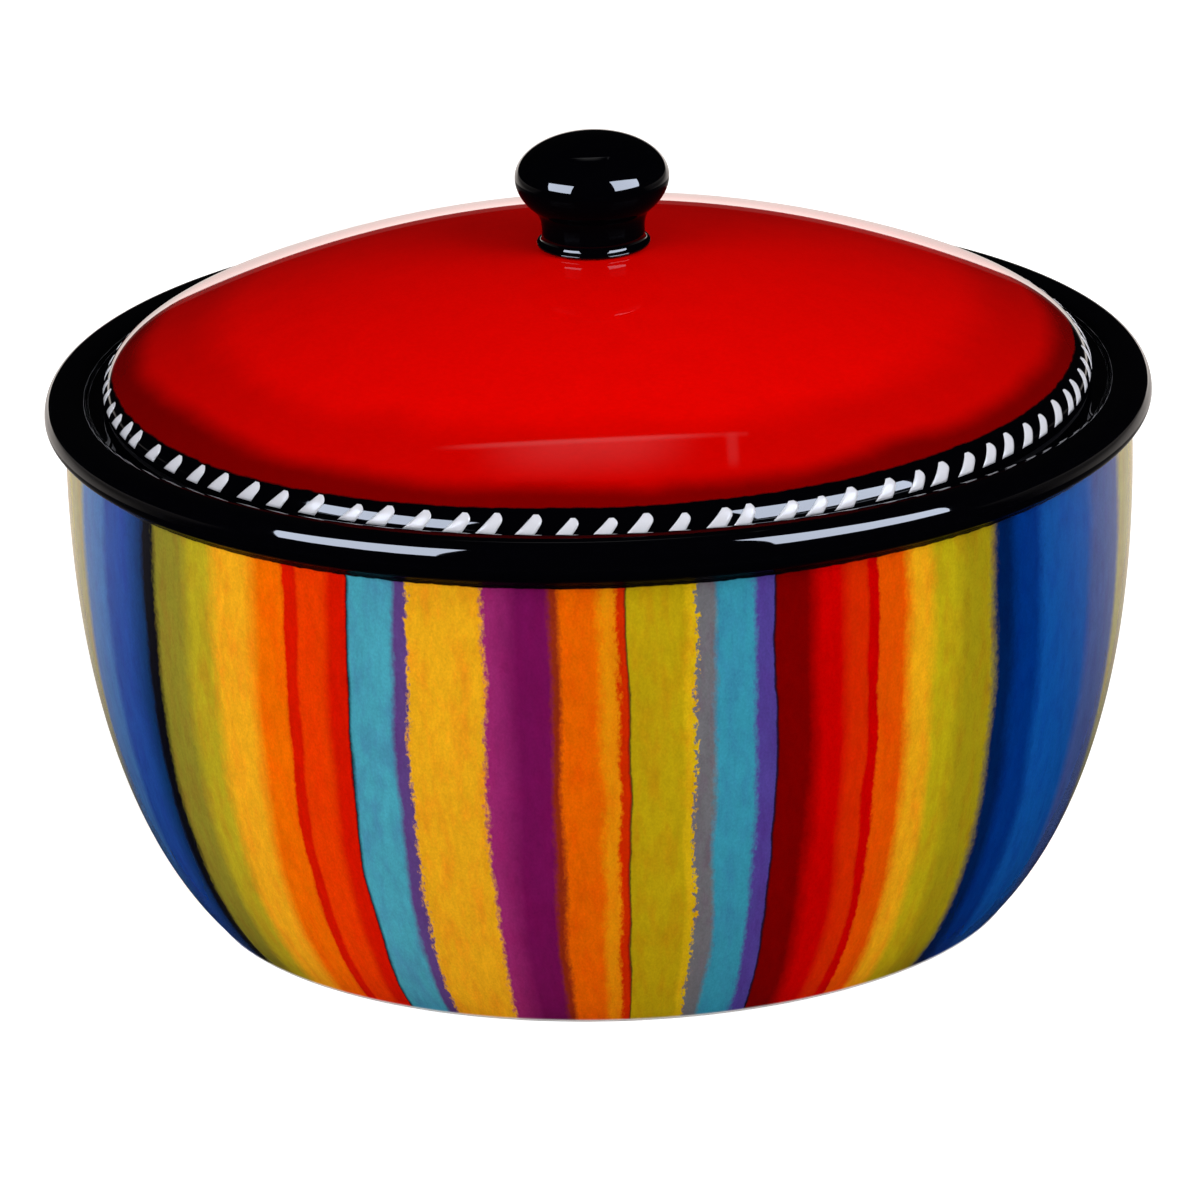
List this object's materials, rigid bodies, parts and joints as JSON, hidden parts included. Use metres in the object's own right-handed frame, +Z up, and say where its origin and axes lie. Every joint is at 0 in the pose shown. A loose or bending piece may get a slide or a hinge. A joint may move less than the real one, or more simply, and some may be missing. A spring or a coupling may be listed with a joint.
{
  "type": "lidded bean pot",
  "caption": "Round glazed ceramic bean pot with a rolled rim, an inner gallery and a lift-off domed lid with a mushroom knob.",
  "frame": {"origin": "centre of the foot on the surface that the pot stands on", "axes": "+Z up along the pot's axis; the pictured side faces -Y and +X is to its right"},
  "size_m": [0.28, 0.28, 0.2001],
  "materials": {
    "striped_glaze": "glossy clear glaze over brushed vertical stripes of many colours, black rolled rim",
    "red_glaze": "glossy brushed red glaze with a black border band and white dashes",
    "black_glaze": "glossy black glaze"
  },
  "bodies": {
    "pot": {"pot": "striped_glaze"},
    "lid": {"lid": "red_glaze", "knob": "black_glaze"}
  },
  "joints": [
    {"name": "lid_lift", "type": "slide", "parent": "pot", "child": "lid", "axis": [0, 0, 1], "range_m": [0, 0.15]}
  ]
}
